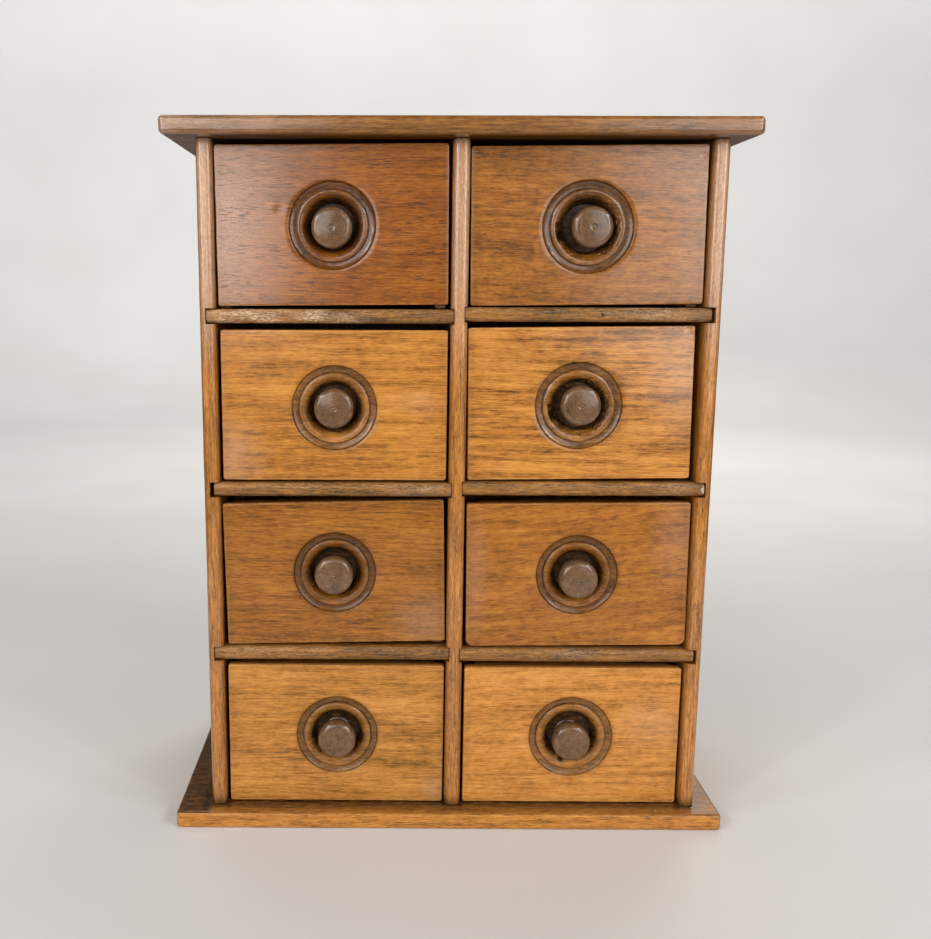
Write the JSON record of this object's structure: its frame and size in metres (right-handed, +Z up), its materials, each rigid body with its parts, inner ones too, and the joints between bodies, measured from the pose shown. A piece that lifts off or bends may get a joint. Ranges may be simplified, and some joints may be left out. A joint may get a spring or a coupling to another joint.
{
  "type": "apothecary cabinet",
  "caption": "Small table-top wooden cabinet with two columns of sliding drawers, each with a turned knob in a turned dish.",
  "frame": {"origin": "centre of the base board's underside, on the surface that the cabinet stands on", "axes": "+Z up, +X to the right when facing the drawers, -Y out of the drawer fronts"},
  "size_m": [0.3348, 0.175, 0.421],
  "materials": {
    "carcase": "warm orange-brown varnish over stained hardwood, satin, worn at the edges",
    "shelf": "the same wood, duller and greener with grime, rougher at the nose",
    "drawer_front": "orange-brown varnish, satin, horizontal grain, dark in the turned grooves",
    "knob": "dark grey-brown turned wood, polished by handling",
    "drawer_box": "bare pale softwood, aged",
    "back_panel": "thin bare board, aged, unvarnished"
  },
  "bodies": {
    "carcase": {"top_board": "carcase", "base_board": "carcase", "side_panel_left": "carcase", "side_panel_right": "carcase", "centre_divider": "carcase", "back_panel": "back_panel", "shelf_left_1": "shelf", "shelf_left_2": "shelf", "shelf_left_3": "shelf", "shelf_right_1": "shelf", "shelf_right_2": "shelf", "shelf_right_3": "shelf"},
    "drawer_left_1": {"drawer_left_1_front": "drawer_front", "drawer_left_1_knob": "knob", "drawer_left_1_side_left": "drawer_box", "drawer_left_1_side_right": "drawer_box", "drawer_left_1_back": "drawer_box", "drawer_left_1_bottom": "drawer_box"},
    "drawer_left_2": {"drawer_left_2_front": "drawer_front", "drawer_left_2_knob": "knob", "drawer_left_2_side_left": "drawer_box", "drawer_left_2_side_right": "drawer_box", "drawer_left_2_back": "drawer_box", "drawer_left_2_bottom": "drawer_box"},
    "drawer_left_3": {"drawer_left_3_front": "drawer_front", "drawer_left_3_knob": "knob", "drawer_left_3_side_left": "drawer_box", "drawer_left_3_side_right": "drawer_box", "drawer_left_3_back": "drawer_box", "drawer_left_3_bottom": "drawer_box"},
    "drawer_left_4": {"drawer_left_4_front": "drawer_front", "drawer_left_4_knob": "knob", "drawer_left_4_side_left": "drawer_box", "drawer_left_4_side_right": "drawer_box", "drawer_left_4_back": "drawer_box", "drawer_left_4_bottom": "drawer_box"},
    "drawer_right_1": {"drawer_right_1_front": "drawer_front", "drawer_right_1_knob": "knob", "drawer_right_1_side_left": "drawer_box", "drawer_right_1_side_right": "drawer_box", "drawer_right_1_back": "drawer_box", "drawer_right_1_bottom": "drawer_box"},
    "drawer_right_2": {"drawer_right_2_front": "drawer_front", "drawer_right_2_knob": "knob", "drawer_right_2_side_left": "drawer_box", "drawer_right_2_side_right": "drawer_box", "drawer_right_2_back": "drawer_box", "drawer_right_2_bottom": "drawer_box"},
    "drawer_right_3": {"drawer_right_3_front": "drawer_front", "drawer_right_3_knob": "knob", "drawer_right_3_side_left": "drawer_box", "drawer_right_3_side_right": "drawer_box", "drawer_right_3_back": "drawer_box", "drawer_right_3_bottom": "drawer_box"},
    "drawer_right_4": {"drawer_right_4_front": "drawer_front", "drawer_right_4_knob": "knob", "drawer_right_4_side_left": "drawer_box", "drawer_right_4_side_right": "drawer_box", "drawer_right_4_back": "drawer_box", "drawer_right_4_bottom": "drawer_box"}
  },
  "joints": [
    {"name": "drawer_left_1_slide", "type": "slide", "parent": "carcase", "child": "drawer_left_1", "axis": [0, -1, 0], "range_m": [0, 0.118]},
    {"name": "drawer_left_2_slide", "type": "slide", "parent": "carcase", "child": "drawer_left_2", "axis": [0, -1, 0], "range_m": [0, 0.118]},
    {"name": "drawer_left_3_slide", "type": "slide", "parent": "carcase", "child": "drawer_left_3", "axis": [0, -1, 0], "range_m": [0, 0.118]},
    {"name": "drawer_left_4_slide", "type": "slide", "parent": "carcase", "child": "drawer_left_4", "axis": [0, -1, 0], "range_m": [0, 0.118]},
    {"name": "drawer_right_1_slide", "type": "slide", "parent": "carcase", "child": "drawer_right_1", "axis": [0, -1, 0], "range_m": [0, 0.118]},
    {"name": "drawer_right_2_slide", "type": "slide", "parent": "carcase", "child": "drawer_right_2", "axis": [0, -1, 0], "range_m": [0, 0.118]},
    {"name": "drawer_right_3_slide", "type": "slide", "parent": "carcase", "child": "drawer_right_3", "axis": [0, -1, 0], "range_m": [0, 0.118]},
    {"name": "drawer_right_4_slide", "type": "slide", "parent": "carcase", "child": "drawer_right_4", "axis": [0, -1, 0], "range_m": [0, 0.118]}
  ]
}
